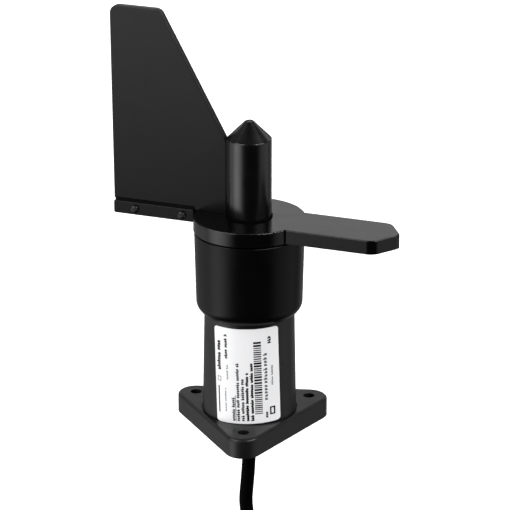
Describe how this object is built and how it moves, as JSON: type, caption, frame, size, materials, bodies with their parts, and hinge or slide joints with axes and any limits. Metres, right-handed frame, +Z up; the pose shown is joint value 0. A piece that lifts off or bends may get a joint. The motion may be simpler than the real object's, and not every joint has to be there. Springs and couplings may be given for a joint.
{
  "type": "wind direction vane sensor",
  "caption": "Wind vane sensor: tail fin and pointer arm on a turning drum over a round flanged housing, with a conical post and a signal cable from its underside.",
  "frame": {"origin": "centre of the mounting flange's underside, on the axis of the vane and of the circle of mounting holes", "axes": "+Z up along the turning axis; one flange lobe points along -Y; the pointer arm at rest points 15.8 degrees from +X towards -Y"},
  "size_m": [0.1463, 0.0708, 0.4313],
  "materials": {
    "housing_plastic": "fine spark texture",
    "skirt_plastic": "satin",
    "head_plastic": "semi-gloss",
    "post_plastic": "semi-gloss",
    "fin_plastic": "satin",
    "label_film": "slight gloss",
    "black_rubber": "matte",
    "carrier_plastic": "matte",
    "bearing_steel": "ground",
    "stainless_steel": "turned",
    "black_screw": "black finish",
    "magnet": "nickel plated",
    "board_laminate": "solder mask",
    "chip_plastic": "moulded",
    "terminal_plastic": "moulded",
    "brass_plating": "turned",
    "lead_insulation": "smooth",
    "gland_plastic": "moulded",
    "cable_jacket": "satin jacket",
    "tie_nylon": "moulded",
    "connector_plastic": "moulded",
    "connector_metal": "nickel plated"
  },
  "bodies": {
    "housing": {"base_housing": "housing_plastic", "rating_label": "label_film", "bearing_carrier": "carrier_plastic", "carrier_seal": "black_rubber", "carrier_screws": "stainless_steel", "upper_outer_ring": "bearing_steel", "lower_outer_ring": "bearing_steel", "shaft_seal": "black_rubber", "board_spacers": "brass_plating", "circuit_board": "board_laminate", "board_screws": "stainless_steel", "angle_sensor_chip": "chip_plastic", "board_components": "chip_plastic", "terminal_block": "terminal_plastic", "signal_leads": "lead_insulation", "cable_end": "cable_jacket", "gland_body": "gland_plastic", "gland_bush": "black_rubber", "gland_nut": "gland_plastic", "gland_locknut": "gland_plastic", "cable_tube": "cable_jacket", "cable_coil": "cable_jacket", "cable_tail": "cable_jacket", "coil_tie": "tie_nylon", "connector_body": "connector_plastic", "connector_insert": "connector_plastic", "connector_pins": "brass_plating"},
    "vane": {"shaft": "stainless_steel", "upper_inner_ring": "bearing_steel", "lower_inner_ring": "bearing_steel", "bearing_spacer": "stainless_steel", "retaining_ring": "stainless_steel", "magnet_holder": "carrier_plastic", "sensor_magnet": "magnet", "rain_skirt": "skirt_plastic", "skirt_screws": "stainless_steel", "locating_pin": "stainless_steel", "vane_arm": "head_plastic", "hub_washer": "stainless_steel", "hub_nut": "stainless_steel", "post_seal": "black_rubber", "post_cap": "post_plastic", "tail_fin": "fin_plastic", "clamp_strip": "fin_plastic", "fin_screws": "black_screw", "fin_nuts": "stainless_steel"},
    "upper_ball_set": {"upper_balls": "bearing_steel", "upper_cage": "carrier_plastic"},
    "lower_ball_set": {"lower_balls": "bearing_steel", "lower_cage": "carrier_plastic"},
    "coupling_ring": {"connector_ring": "connector_metal"}
  },
  "joints": [
    {"name": "vane_spin", "type": "hinge", "parent": "housing", "child": "vane", "pos_m": [0, 0, 0.09], "axis": [0, 0, 1], "continuous": true},
    {"name": "upper_ball_set_spin", "type": "hinge", "parent": "housing", "child": "upper_ball_set", "pos_m": [0, 0, 0.0905], "axis": [0, 0, 1], "continuous": true},
    {"name": "lower_ball_set_spin", "type": "hinge", "parent": "housing", "child": "lower_ball_set", "pos_m": [0, 0, 0.0735], "axis": [0, 0, 1], "continuous": true},
    {"name": "coupling_ring_spin", "type": "hinge", "parent": "housing", "child": "coupling_ring", "pos_m": [0.0403, 0.0006, -0.208], "axis": [0, 0, 1], "continuous": true}
  ],
  "couplings": [
    {"joint": "upper_ball_set_spin", "follows": "vane_spin", "ratio": 0.368},
    {"joint": "lower_ball_set_spin", "follows": "vane_spin", "ratio": 0.368}
  ]
}
